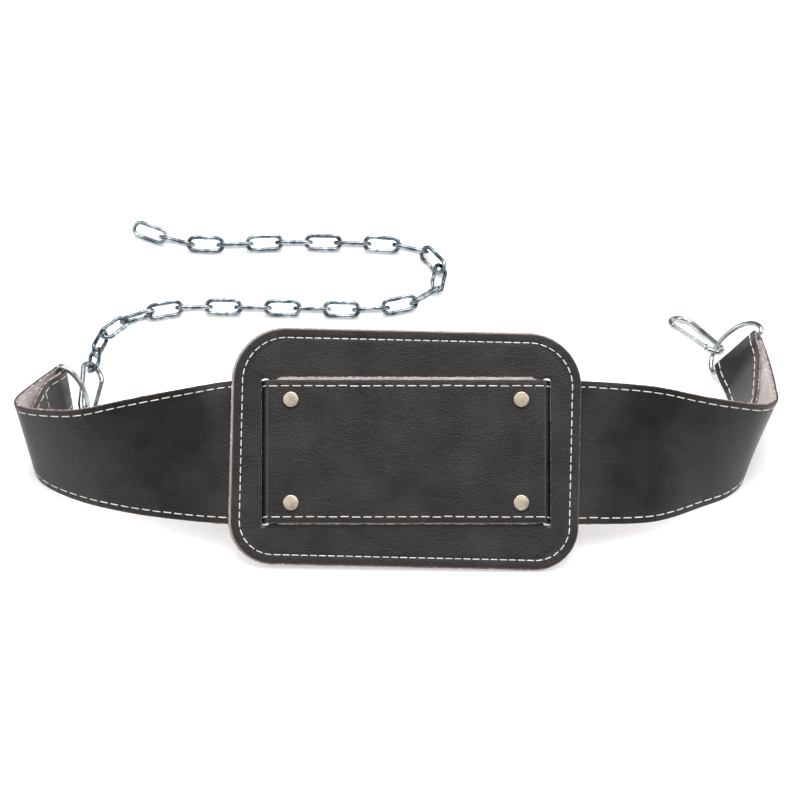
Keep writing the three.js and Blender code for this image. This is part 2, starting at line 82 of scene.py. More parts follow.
# %% Floor and lights
def make_light(name, place, size, power):
    """A square soft box at a place, turned to look at the origin."""
    data = bpy.data.lights.new(name, "AREA")
    data.shape = "SQUARE"
    data.size = size
    data.energy = power
    lamp = bpy.data.objects.new(name, data)
    lamp.location = place
    x, y, z = place
    lamp.rotation_euler = (math.atan2(math.hypot(x, y), z), 0.0, math.atan2(-y, -x) - math.pi / 2)
    bpy.context.scene.collection.objects.link(lamp)


FLOOR_SIZE = 3.2
bpy.ops.mesh.primitive_plane_add(size=FLOOR_SIZE)
floor = bpy.context.object
floor.name = "floor"
floor_paint = bpy.data.materials.new("floor_paint")
floor_paint.use_nodes = True
floor_shader = floor_paint.node_tree.nodes["Principled BSDF"]
for label, value in (
    ("Base Color", (0.93, 0.93, 0.93, 1.0)),
    ("Roughness", 0.9),
    ("Specular IOR Level", 0.1),
    ("Emission Color", (1.0, 1.0, 1.0, 1.0)),
    ("Emission Strength", 0.3),
):
    floor_shader.inputs[label].default_value = value
floor.data.materials.append(floor_paint)

make_light("light_above", (0.1, 0.7, 2.0), 1.8, 46.0)
make_light("light_left", (-1.9, -0.5, 1.3), 1.2, 16.0)
make_light("light_right", (1.9, -0.3, 1.4), 1.2, 16.0)

# %% [markdown]
# A studio is bright overhead and dark near the floor. The sky is a ramp on the height of each
# direction, so upright leather goes darker than leather that leans back, and round wire gets
# both a bright and a dark band.

# %% Studio sky
def link(tree, source, target):
    tree.links.new(source, target)


def ramp(tree, fac, stops):
    """A colour ramp from a list of (position, colour) stops."""
    node = tree.nodes.new("ShaderNodeValToRGB")
    elements = node.color_ramp.elements
    while len(elements) < len(stops):
        elements.new(0.5)
    for element, (position, colour) in zip(elements, stops):
        element.position = position
        element.color = (*colour, 1.0)
    link(tree, fac, node.inputs["Fac"])
    return node.outputs["Color"]


SKY_STOPS = [(0.0, 0.03), (0.25, 0.24), (0.6, 0.4), (0.84, 0.6), (1.0, 1.6)]
world = bpy.data.worlds.new("world")
world.use_nodes = True
sky = world.node_tree
direction = sky.nodes.new("ShaderNodeTexCoord").outputs["Generated"]
split = sky.nodes.new("ShaderNodeSeparateXYZ")
link(sky, direction, split.inputs[0])
sky_colour = ramp(sky, split.outputs["Z"], [(height, (grey,) * 3) for height, grey in SKY_STOPS])
background = sky.nodes["Background"]
link(sky, sky_colour, background.inputs["Color"])
background.inputs["Strength"].default_value = 1.0
bpy.context.scene.world = world
bpy.context.scene.view_settings.view_transform = "Standard"
print("sky from", SKY_STOPS[0][1], "below to", SKY_STOPS[-1][1], "overhead")

# %% [markdown]
# The leather, the suede and the cut edges share the same kind of surface noise, only at other
# scales, so that noise is a node group. It gives a height for the bump and a mask that varies
# slowly over the belt. Everything reads Object coordinates, which are metres here because every
# piece sits at the origin.

# %% Helpers for shader nodes
def feed(tree, value, socket):
    """Links a socket to another one, or gives it a plain number."""
    if hasattr(value, "is_linked"):
        link(tree, value, socket)
    else:
        socket.default_value = value


def noise(tree, vector, scale, detail=3.0, roughness=0.55):
    """The value of a Noise Texture of a given number of waves to the metre."""
    node = tree.nodes.new("ShaderNodeTexNoise")
    node.inputs["Detail"].default_value = detail
    node.inputs["Roughness"].default_value = roughness
    link(tree, vector, node.inputs["Vector"])
    feed(tree, scale, node.inputs["Scale"])
    return node.outputs["Fac"]


def math_node(tree, operation, first, second=0.0):
    """A Math node whose two values are sockets or plain numbers."""
    node = tree.nodes.new("ShaderNodeMath")
    node.operation = operation
    feed(tree, first, node.inputs[0])
    feed(tree, second, node.inputs[1])
    return node.outputs[0]


print("node helpers ready")

# %% Leather grain
# Grain is small cells, drawn out along X, with fine creases, and a slow variation. Height is the
# distance to a Voronoi cell's middle mixed with fine noise. A crease runs where a wandering noise
# crosses its middle value. Blotch is a slow noise from 0 to 1, for colour and roughness.
grain_group = bpy.data.node_groups.new("leather_grain", "ShaderNodeTree")
tree = grain_group
for label in ("Cells", "Fine", "Blotch", "Crease"):
    tree.interface.new_socket(label, in_out="INPUT", socket_type="NodeSocketFloat")
for label in ("Height", "Blotch"):
    tree.interface.new_socket(label, in_out="OUTPUT", socket_type="NodeSocketFloat")
start, end = tree.nodes.new("NodeGroupInput"), tree.nodes.new("NodeGroupOutput")
place = tree.nodes.new("ShaderNodeTexCoord").outputs["Object"]
stretch = tree.nodes.new("ShaderNodeMapping")
stretch.inputs["Scale"].default_value = (0.4, 1.0, 1.0)
link(tree, place, stretch.inputs["Vector"])
bend = noise(tree, stretch.outputs["Vector"], start.outputs["Fine"], 2.0)
cells = tree.nodes.new("ShaderNodeTexVoronoi")
cells.feature = "SMOOTH_F1"
cells.inputs["Smoothness"].default_value = 0.35
link(tree, stretch.outputs["Vector"], cells.inputs["Vector"])
link(tree, start.outputs["Cells"], cells.inputs["Scale"])
pebbles = math_node(tree, "MULTIPLY", cells.outputs["Distance"], -0.8)
fine = math_node(tree, "MULTIPLY", bend, 0.45)
wander = noise(tree, stretch.outputs["Vector"], start.outputs["Blotch"], 7.0, 0.68)
off_middle = math_node(tree, "ABSOLUTE", math_node(tree, "SUBTRACT", wander, 0.5))
bank = math_node(tree, "MINIMUM", math_node(tree, "MULTIPLY", off_middle, 24.0), 1.0)
bank = math_node(tree, "MULTIPLY", bank, start.outputs["Crease"])
grain = math_node(tree, "ADD", pebbles, fine)
link(tree, math_node(tree, "ADD", grain, bank), end.inputs["Height"])
slow = noise(tree, place, start.outputs["Blotch"], 4.0)
link(tree, slow, end.inputs["Blotch"])
print("node group", grain_group.name)

# %% [markdown]
# The face is black leather with a satin finish: a dark warm grey whose gloss changes slowly, as
# waxed leather's does where hands have rubbed it. The raw side is pale, pinkish suede without
# gloss. The cut edges are rough: dark on the black plies, mottled on the suede ones.

# %% Helpers for materials
def new_material(name, rough=0.5, metal=0.0):
    """A Principled material with its constants on the shader's own sockets."""
    material = bpy.data.materials.new(name)
    material.use_nodes = True
    shader = material.node_tree.nodes["Principled BSDF"]
    shader.inputs["Roughness"].default_value = rough
    shader.inputs["Metallic"].default_value = metal
    return material, material.node_tree, shader


def gloss(tree, fac, rough, shader):
    """Roughness between two values where a slow noise goes from 0.3 to 0.7."""
    node = tree.nodes.new("ShaderNodeMapRange")
    for label, value in zip(("From Min", "From Max", "To Min", "To Max"), (0.3, 0.7, *rough)):
        node.inputs[label].default_value = value
    link(tree, fac, node.inputs["Value"])
    link(tree, node.outputs["Result"], shader.inputs["Roughness"])


def bump(tree, height, strength, depth, shader):
    """Bump of a height map that is depth metres deep, on the shader's normal."""
    node = tree.nodes.new("ShaderNodeBump")
    node.inputs["Strength"].default_value = strength
    node.inputs["Distance"].default_value = depth
    link(tree, height, node.inputs["Height"])
    link(tree, node.outputs["Normal"], shader.inputs["Normal"])


def leather_material(name, stops, rough, cells, fine, depth, blotch, crease=0.0, specular=0.5):
    """Leather from the grain group: colour and roughness follow the blotch, bump the grain."""
    material, tree, shader = new_material(name, sum(rough) / 2)
    shader.inputs["Specular IOR Level"].default_value = specular
    grain = tree.nodes.new("ShaderNodeGroup")
    grain.node_tree = grain_group
    for label, value in (("Cells", cells), ("Fine", fine), ("Blotch", blotch), ("Crease", crease)):
        grain.inputs[label].default_value = value
    link(tree, ramp(tree, grain.outputs["Blotch"], stops), shader.inputs["Base Color"])
    gloss(tree, grain.outputs["Blotch"], rough, shader)
    bump(tree, grain.outputs["Height"], 1.0, depth, shader)
    return material


print("material helpers ready")

# %% Leather, suede and edge
black_leather = leather_material(
    "black_leather",
    [
        (0.3, (0.004, 0.0032, 0.0028)),
        (0.5, (0.0095, 0.008, 0.0068)),
        (0.7, (0.0155, 0.0135, 0.0114)),
    ],
    (0.27, 0.42),
    cells=1100.0,
    fine=3000.0,
    depth=0.0002,
    blotch=28.0,
    crease=0.3,
)
suede = leather_material(
    "suede",
    [(0.3, (0.36, 0.325, 0.31)), (0.7, (0.52, 0.48, 0.46))],
    (0.9, 1.0),
    cells=700.0,
    fine=2200.0,
    depth=0.0004,
    blotch=60.0,
    specular=0.2,
)
raw_edge = leather_material(
    "raw_edge",
    [(0.35, (0.10, 0.07, 0.06)), (0.52, (0.34, 0.28, 0.26)), (0.68, (0.66, 0.62, 0.60))],
    (0.85, 1.0),
    cells=900.0,
    fine=1800.0,
    depth=0.0005,
    blotch=320.0,
    specular=0.2,
)
dark_edge = leather_material(
    "dark_edge",
    [(0.35, (0.03, 0.022, 0.02)), (0.7, (0.11, 0.07, 0.06))],
    (0.7, 0.9),
    cells=900.0,
    fine=1800.0,
    depth=0.0004,
    blotch=320.0,
)
BLACK_PLY = [black_leather, dark_edge, suede]
PALE_PLY = [suede, raw_edge, suede]
print("leathers", black_leather.name, suede.name, raw_edge.name, dark_edge.name)

# %% [markdown]
# The thread is white waxed polyester, whose twisted plies make it look finely ridged. The
# metal is zinc: bluish and mottled on the chain, where the plating has taken unevenly, and
# brighter on the hooks and the rings. The rivets are warm satin nickel.

# %% Thread and metals
def metal_material(name, stops, rough, blotch, depth, scratch=900.0):
    """Plated metal: colour and gloss follow a slow noise, with fine scratches in the bump."""
    material, tree, shader = new_material(name, sum(rough) / 2, 1.0)
    place = tree.nodes.new("ShaderNodeTexCoord").outputs["Object"]
    slow = noise(tree, place, blotch, 4.0)
    link(tree, ramp(tree, slow, stops), shader.inputs["Base Color"])
    gloss(tree, slow, rough, shader)
    bump(tree, noise(tree, place, scratch), 0.5, depth, shader)
    return material


# Thread has a little dirt in its colour, and fine noise for the twist of its plies.
white_thread, tree, shader = new_material("white_thread", 0.75)
place = tree.nodes.new("ShaderNodeTexCoord").outputs["Object"]
stops = [(0.3, (0.60, 0.57, 0.53)), (0.65, (0.86, 0.85, 0.82))]
link(tree, ramp(tree, noise(tree, place, 60.0), stops), shader.inputs["Base Color"])
bump(tree, noise(tree, place, 2600.0), 0.6, 0.0003, shader)
zinc = metal_material(
    "zinc",
    [(0.35, (0.055, 0.075, 0.09)), (0.5, (0.17, 0.21, 0.235)), (0.65, (0.46, 0.51, 0.53))],
    (0.14, 0.28),
    blotch=140.0,
    depth=0.00012,
)
bright_zinc = metal_material(
    "bright_zinc",
    [(0.3, (0.24, 0.26, 0.27)), (0.7, (0.56, 0.59, 0.60))],
    (0.16, 0.3),
    blotch=70.0,
    depth=0.00008,
)
nickel = metal_material(
    "nickel",
    [(0.3, (0.48, 0.40, 0.31)), (0.7, (0.72, 0.62, 0.50))],
    (0.3, 0.45),
    blotch=160.0,
    scratch=1200.0,
    depth=0.00008,
)
print("thread and metals", white_thread.name, zinc.name, bright_zinc.name, nickel.name)

# %% [markdown]
# Every new piece is a surface worked out as an array of points. These helpers close such a grid
# round, cap its ends if they are open, and make the mesh object, with one material for each
# band of faces. The pieces then ride on a body of the frame and stand for their nodes.

# %% Helpers for meshes
def grid_faces(rows, columns, closed=False):
    """Quads of a grid whose columns close on themselves; rows may close too."""
    i, j = np.meshgrid(np.arange(rows if closed else rows - 1), np.arange(columns), indexing="ij")
    here = i * columns
    after = (i + 1) % rows * columns
    next_j = (j + 1) % columns
    return np.stack([here + j, here + next_j, after + next_j, after + j], -1).reshape(-1, 4)


def make_object(name, points, faces, materials, slots=None):
    """A mesh object with smooth faces; slots number each face's material in the list."""
    mesh = bpy.data.meshes.new(name)
    mesh.from_pydata(points.reshape(-1, 3).tolist(), [], faces)
    each_once = list(dict.fromkeys(materials))
    for material in each_once:
        mesh.materials.append(material)
    if slots is not None:
        place_of = np.array([each_once.index(material) for material in materials], dtype=np.int32)
        mesh.polygons.foreach_set("material_index", place_of[slots])
    mesh.polygons.foreach_set("use_smooth", np.ones(len(faces), dtype=bool))
    mesh.update()
    piece = bpy.data.objects.new(name, mesh)
    bpy.context.scene.collection.objects.link(piece)
    return piece


def make_grid(name, points, materials, slots=None, closed=False, flipped=False):
    """A grid of points as an object. Its rows close on themselves, or both ends get a cap.

    slots are for the quads, and the caps have the first quad's.
    """
    rows, columns = points.shape[:2]
    quads = grid_faces(rows, columns, closed)
    ring = np.arange(columns)
    caps = [] if closed else [ring[::-1], (rows - 1) * columns + ring]
    if flipped:
        quads = quads[:, ::-1]
        caps = [cap[::-1] for cap in caps]
    if slots is not None:
        slots = np.concatenate([slots, np.full(len(caps), slots[0])])
    faces = quads.tolist() + [cap.tolist() for cap in caps]
    return make_object(name, points, faces, materials, slots)


def finish_piece(piece, body, slot, *nodes):
    """Ties a piece to its body and hides the nodes that it stands for; slot is not used."""
    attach(piece, body)
    if nodes:
        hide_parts(*nodes)


print("mesh helpers ready")

# %% Helpers for curves
def unit(vectors):
    return vectors / np.linalg.norm(vectors, axis=-1, keepdims=True)


def circle(sides):
    """Cosines and sines of even angles all round."""
    turn = np.linspace(0.0, 2 * math.pi, sides, endpoint=False)
    return np.cos(turn), np.sin(turn)


def arc(cx, cy, rx, ry, start, stop, steps):
    """Points on an ellipse round a centre, from one angle to another in degrees."""
    turn = np.radians(np.linspace(start, stop, steps + 1))
    return np.stack([cx + rx * np.cos(turn), cy + ry * np.sin(turn)], -1)


def bell(offset, width):
    """A smooth bump of height 1 round the offset 0."""
    return np.exp(-((offset / width) ** 2))


def walk(path):
    """The distance walked along a path up to each of its points."""
    return np.concatenate([[0.0], np.cumsum(np.linalg.norm(np.diff(path, axis=0), axis=1))])


def read_at(places, known, values):
    """Rows of values at given places, between the places where they are known."""
    return np.stack([np.interp(places, known, column) for column in values.T], -1)


def tube(path, radius, normal, sides, closed=False):
    """Round wire: a circle carried along a flat path whose plane has the given normal.

    At each point the circle lies in the plane of that normal and the side, which is the
    normal crossed with the path's direction.
    """
    if closed:
        ahead = unit(np.roll(path, -1, 0) - np.roll(path, 1, 0))
    else:
        ahead = unit(np.gradient(path, axis=0))
    side = unit(np.cross(normal, ahead))
    cos, sin = circle(sides)
    radii = (radius * np.ones(len(path)))[:, None, None]
    return path[:, None] + radii * (cos[:, None] * side[:, None] + sin[:, None] * normal)


print("curve helpers ready")

# %% [markdown]
# The strap's shape comes from the same few sections as the frame's. Each wing is a smooth
# curve through the lower and the upper ends of a handful of slanting rulers, and the strap
# dips through the two slots of the pad. Sizes are in millimetres here, as the belt's maker
# would write them, and become metres at the end.

# %% Sizes of the strap and the pad
STRAP_WIDTH = 122.0
STRAP_PLY = 1.5
PLY_GAP = 0.3
HALF_SPAN = 313.0
STAND_DEPTH = 240.0
FOLD_WIDTH = 46.0
TAB_LENGTH = {"left": 62.0, "right": 84.0}
PAD_WIDTH = 294.0
PAD_HEIGHT = 200.0
PAD_TOP_RADIUS = 45.0
PAD_LOW_RADIUS = 36.0
PAD_LEATHER = 1.6
PAD_SUEDE = 1.3
PAD_RIM = 1.1
PAD_SUEDE_LEFT = 0.9
PAD_SUEDE_UP = 0.4
PAD_LEAN = 52.0
PAD_TURN = -1.3
STRAP_ON_PAD = 36.5
SLOT_SPAN = 238.0
SLOT_SPARE = 1.3
SLOT_SLOPE = math.radians(66.0)
SLOT_BEND = 3.0
SLOT_GAP = 0.35
SLOT_LIP = 0.5
RING_WIRE = 4.5
BAR_GAP = 0.35
TOUCH_GAP = 0.3

strap_thick = 2 * STRAP_PLY + PLY_GAP
pad_thick = PAD_LEATHER + PLY_GAP + PAD_SUEDE
lean = math.radians(PAD_LEAN)
pad_turn = math.radians(PAD_TURN)
pad_dip = PAD_RIM - PAD_SUEDE_UP + (PAD_WIDTH / 2 - PAD_LOW_RADIUS) * math.sin(abs(pad_turn))
pad_low_edge = pad_dip * math.cos(lean) + pad_thick * math.sin(lean)


def on_pad(points):
    """Pad frame (along, up, out) to the floor's frame: a turn about X, then a lift."""
    points = np.asarray(points, dtype=float)
    along, up, out = points[..., 0], points[..., 1], points[..., 2]
    tilt = math.pi / 2 - lean
    y = up * math.cos(tilt) - out * math.sin(tilt)
    z = up * math.sin(tilt) + out * math.cos(tilt) + pad_low_edge
    return np.stack([along, y, z], -1)


print("pad's low edge", round(pad_low_edge, 2), "mm over the floor")

# %% Sections of the wings
# Columns: out is a share of the half span, back of the depth, up and wide of the strap's width;
# the leans are degrees from upright.
WINGS = {
    "left": [
        (0.587, 0.17, 0.147, 0.927, 41, 0),
        (0.75, 0.248, 0.074, 0.811, 31, 0.5),
        (0.885, 0.333, 0.025, 0.685, 22, 3),
        (0.967, 0.41, 0.006, 0.642, 13, 7),
        (0.997, 0.467, 0.003, 0.62, 9, 13),
        (1.0, 0.542, 0.004, 0.576, 6, 14),
        (0.974, 0.658, 0.019, 0.487, 5, 10),
        (0.933, 0.783, 0.052, 0.377, 2, 7),
    ],
    "right": [
        (0.668, 0.182, 0.115, 0.951, 36, 0),
        (0.799, 0.29, 0.049, 0.802, 27, 3),
        (0.869, 0.358, 0.016, 0.728, 20, 10),
        (0.904, 0.425, 0.004, 0.679, 12, 14),
        (0.915, 0.5, 0.003, 0.643, 7, 20),
        (0.907, 0.625, 0.004, 0.582, 3, 24),
        (0.883, 0.792, 0.013, 0.475, 12, 34),
        (0.858, 0.961, 0.041, 0.377, 29, 51),
    ],
}
FRONT_LEVEL = TOUCH_GAP + strap_thick / 2
BACK_LEVEL = -(pad_thick + TOUCH_GAP + strap_thick / 2)
print("wing sections", len(WINGS["left"]), "and", len(WINGS["right"]))


def pad_section(along, out):
    """The strap's lower and upper edge on the pad, at a place along it and a height out of it."""
    low = on_pad([along, STRAP_ON_PAD, out])
    top = on_pad([along, STRAP_ON_PAD + STRAP_WIDTH, out])
    return np.array([low, top])


def wing_section(row, side, is_fold):
    """A ruler of the wing from its table row: the low end, and the top end along the lean."""
    out, back, up, wide, back_lean, out_lean = row
    low = np.array([side * HALF_SPAN * out, STAND_DEPTH * back, STRAP_WIDTH * up])
    away, behind = (math.tan(math.radians(angle)) for angle in (out_lean, back_lean))
    rise = unit(np.array([side * away, behind, 1.0]))
    width = FOLD_WIDTH if is_fold else STRAP_WIDTH * wide
    return np.array([low, low + rise * width])


def run_sections(rulers, shares):
    """Rulers along a wing, at shares from 0 to 1 of its row of sections.

    The lower ends and the upper ends each lie on a centripetal Catmull-Rom curve: between two
    sections it is a cubic whose end slopes come from the neighbours, with each span weighted by
    the square root of its length.
    """
    last = len(rulers) - 1
    padded = np.concatenate([[2 * rulers[0] - rulers[1]], rulers, [2 * rulers[-1] - rulers[-2]]])
    number = np.minimum(np.floor(shares * last).astype(int), last - 1)
    weight = (shares * last - number)[:, None, None]
    p0, p1, p2, p3 = (padded[number + k] for k in range(4))
    spans = (p1 - p0, p2 - p1, p3 - p2)
    d0, d1, d2 = (np.sqrt(np.linalg.norm(span, axis=-1, keepdims=True)) for span in spans)
    t1 = ((p1 - p0) / d0 - (p2 - p0) / (d0 + d1) + (p2 - p1) / d1) * d1
    t2 = ((p2 - p1) / d1 - (p3 - p1) / (d1 + d2) + (p3 - p2) / d2) * d1
    c2 = -3 * p1 + 3 * p2 - 2 * t1 - t2
    c3 = 2 * p1 - 2 * p2 + t1 + t2
    return p1 + t1 * weight + c2 * weight**2 + c3 * weight**3

# %% The strap's dip through a slot
def slot_dip(side):
    """From in front of the pad to behind it: an arc, a straight slope and an arc back."""
    drop = SLOT_BEND * (1 - math.cos(SLOT_SLOPE))
    straight = (FRONT_LEVEL - BACK_LEVEL - 2 * drop) / math.tan(SLOT_SLOPE)
    half = SLOT_BEND * math.sin(SLOT_SLOPE) + straight / 2
    turns = np.linspace(0.0, SLOT_SLOPE, 7)
    past = SLOT_BEND * np.sin(turns) - half
    sunk = SLOT_BEND * (1 - np.cos(turns))
    along = side * (SLOT_SPAN / 2 + np.concatenate([past, -past[::-1]]))
    out = np.concatenate([FRONT_LEVEL - sunk, BACK_LEVEL + sunk[::-1]])
    return np.array([pad_section(a, o) for a, o in zip(along, out)])


SLOT_WIDTH = pad_thick / math.tan(SLOT_SLOPE) + strap_thick / math.sin(SLOT_SLOPE) + 2 * SLOT_GAP
print("slot", round(SLOT_WIDTH, 2), "mm wide")

# %% [markdown]
# The end of each wing goes half round the ring's bar and comes back inside as a tab, which
# narrows to a tongue. The tab keeps its distance from the strap by the strap's thickness.

# %% Wings with their folds and tabs
# Columns: share of the tab's length, share of the width cut away below and above, how far the
# tab has closed on the strap
TAB = [
    (0.12, 0.01, 0.02, 0.2),
    (0.24, 0.02, 0.05, 0.62),
    (0.38, 0.05, 0.10, 1.0),
    (0.56, 0.08, 0.18, 1.0),
    (0.72, 0.10, 0.26, 1.0),
    (0.85, 0.13, 0.34, 1.0),
    (0.95, 0.20, 0.46, 1.0),
    (1.00, 0.30, 0.58, 1.0),
]
RUN_STEPS = 170
FOLD_STEPS = 14
TAB_STEPS = 44
FRAME_STEPS = 44
FINE_STEPS = 2000
LOOK_STEPS = 8
BEHIND_PAD = ((0.44, 0.0), (0.505, 2 * TOUCH_GAP))
TAB_SPARE = 0.2
TIP_LENGTH = 0.1
TIP_CUT = 0.12


def wing(name, side):
    """Rulers from behind the pad to the tab's tip, with the ring bar's direction and middle.

    The bar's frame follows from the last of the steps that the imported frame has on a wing.
    """
    rows = WINGS[name]
    behind = [pad_section(side * PAD_WIDTH * share, BACK_LEVEL - off) for share, off in BEHIND_PAD]
    rulers = np.array(behind + [wing_section(row, side, row is rows[-1]) for row in rows])
    run = run_sections(rulers, np.linspace(0.0, 1.0, RUN_STEPS + 1)[1:])
    before, last = run_sections(rulers, np.array([1 - 1 / FRAME_STEPS, 1.0]))
    bar = unit(last[1] - last[0])
    ahead = last.mean(0) - before.mean(0)
    ahead = unit(ahead - bar * np.dot(ahead, bar))
    inward = unit(np.cross(bar, ahead) * side)
    bend = RING_WIRE / 2 + BAR_GAP + strap_thick / 2
    turns = np.linspace(0.0, math.pi, FOLD_STEPS + 1)[1:, None]
    shift = inward * bend * (1 - np.cos(turns)) + ahead * bend * np.sin(turns)
    fold = last + shift[:, None]

    fine = run_sections(rulers, np.linspace(0.0, 1.0, FINE_STEPS + 1))
    middles = fine.mean(1)
    table = np.array([(0.0, 0.0, 0.0, 0.0)] + TAB)
    shares = np.linspace(0.0, 1.0, TAB_STEPS + 1)[1:]
    low_cut, top_cut, close = read_at(shares, table[:, 0], table[:, 1:]).T
    close = close * close * (3 - 2 * close)
    back_from_end = walk(middles[::-1])
    number = np.interp(shares * TAB_LENGTH[name], back_from_end, np.arange(FINE_STEPS + 1)[::-1])
    number = number.round().astype(int)
    base = fine[number]
    across = base[:, 1] - base[:, 0]
    along = middles[np.minimum(number + LOOK_STEPS, FINE_STEPS)] - middles[number - LOOK_STEPS]
    inside = unit(np.cross(across, along) * side)
    flat_gap = strap_thick + TOUCH_GAP + TAB_SPARE
    apart = (2 * bend + (flat_gap - 2 * bend) * close)[:, None]
    tip = np.clip((shares - 1 + TIP_LENGTH) / TIP_LENGTH, 0.0, 1.0) ** 2 * TIP_CUT
    low = base[:, 0] + across * (low_cut + tip)[:, None] + inside * apart
    top = base[:, 1] - across * (top_cut + tip)[:, None] + inside * apart
    return {
        "rulers": np.concatenate([run, fold, np.stack([low, top], 1)]),
        "bar": bar,
        "bar_middle": last.mean(0) + inward * bend,
    }


left = wing("left", -1)
right = wing("right", 1)
flat_end = abs(slot_dip(1)[0, 0, 0])
flat_share = np.linspace(-1.0, 1.0, 90)[1:-1]
flat = np.array([pad_section(flat_end * share, FRONT_LEVEL) for share in flat_share])
strap = np.concatenate(
    [left["rulers"][::-1], slot_dip(-1)[::-1], flat, slot_dip(1), right["rulers"]]
)
print("strap rulers", len(strap))

# %% [markdown]
# The frame's origin lies under the middle of the whole belt, so the sizes above are moved by
# one step. It is the difference between the middle of the pad leather's box in the frame and
# the one that the formula gives.

# %% The step from the maker's sizes to the frame
def rounded_outline(rim, steps=24):
    """The pad's outline in its own plane, grown by rim: four arcs, turned about the middle."""
    w = PAD_WIDTH / 2 + rim
    h = PAD_HEIGHT / 2 + rim
    corners = [
        (w, -h, PAD_LOW_RADIUS, -90.0),
        (w, h, PAD_TOP_RADIUS, 0.0),
        (-w, h, PAD_TOP_RADIUS, 90.0),
        (-w, -h, PAD_LOW_RADIUS, 180.0),
    ]
    points = []
    for x, y, radius, start in corners:
        r = radius + rim
        cx, cy = x - math.copysign(r, x), y - math.copysign(r, y)
        points.append(arc(cx, cy, r, r, start, start + 90.0, steps))
    x, y = np.concatenate(points).T
    cos, sin = math.cos(pad_turn), math.sin(pad_turn)
    return np.stack([x * cos - y * sin, x * sin + y * cos + PAD_HEIGHT / 2], -1)


def at_level(outline, level):
    """Points of the pad's own plane at one level, on the floor's frame."""
    return on_pad(np.column_stack([outline, np.full(len(outline), level)]))


own = np.concatenate([at_level(rounded_outline(0.0), level) for level in (-PAD_LEATHER, 0.0)])
node_box = np.array(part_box("pad_leather")) / MM
SHIFT = node_box.mean(0) - (own.min(0) + own.max(0)) / 2


def to_world(points):
    """Maker's millimetres to metres in the frame."""
    return (np.asarray(points) + SHIFT) * MM


off = node_box[0] - own.min(0) - SHIFT
print("step", SHIFT.round(3), "mm; pad ply off by", off.round(3))

# %% [markdown]
# A ply of the strap is a thin closed skin round those rulers. Its section is a long rectangle
# with rounded edges. Near the two stitch lines the thread pulls the leather in, so the face
# dips there by a few tenths of a millimetre, and swells again between the stitches.

# %% Sections of the strap with even steps
def even_rulers(rulers, step):
    """Rulers set out again at even distances along the strap's middle, and those distances."""
    walked = walk(rulers.mean(1))
    marks = np.linspace(0.0, walked[-1], int(walked[-1] / step) + 1)
    return read_at(marks, walked, rulers.reshape(-1, 6)).reshape(-1, 2, 3), marks


def soften(rows):
    """Each row averaged with its neighbours along the strap."""
    longer = np.concatenate([rows[:1], rows, rows[-1:]])
    return (longer[:-2] + longer[1:-1] + longer[2:]) / 3


rulers, marks = even_rulers(strap, 1.0)
across = rulers[:, 1] - rulers[:, 0]
widths = np.linalg.norm(across, axis=1)
ahead = unit(np.gradient(rulers[:, 0], axis=0)) + unit(np.gradient(rulers[:, 1], axis=0))
outward = unit(soften(unit(np.cross(ahead, across))))
print("strap length", round(marks[-1], 1), "mm, widest", widths.max().round(1))

# %% Surface of one ply
STITCH_INSET = 5.2
STITCH_PITCH = 9.7
PAD_STITCH_INSET = 7.4
PAD_STITCH_PITCH = 7.6
STITCH_DIP = 0.22
GROOVE = 1.3
PAD_GROOVE = 1.4
LINING_PAST_TOP = 2.7
LINING_PAST_LOW = 1.0
FACE_COLUMNS = 40
SLOT_CLEAR = 8.0
SLOT_FADE = 5.0


def strap_point(numbers, up, height):
    """Points on the strap: at row numbers, a distance up from the lower edge, a height out."""
    base = rulers[numbers, 0] + unit(across[numbers]) * up[..., None]
    return base + outward[numbers] * height[..., None]


def face_dip(distance, widths_here, along):
    """How far the face sinks: two soft grooves at the stitch lines, deeper at each stitch hole."""
    low = bell(distance - STITCH_INSET, GROOVE)
    top = bell(widths_here - distance - STITCH_INSET, GROOVE)
    hole = 0.65 + 0.35 * np.cos(2 * math.pi * along / STITCH_PITCH)
    return STITCH_DIP * (low + top) * hole


middle_of_pad = np.linalg.norm(rulers.mean(1) - flat.mean((0, 1)), axis=1)
between_slots = np.clip((SLOT_SPAN / 2 - SLOT_CLEAR - middle_of_pad) / SLOT_FADE, 0.0, 1.0)
print("bare rows", int((between_slots > 0).sum()), "between the slots")

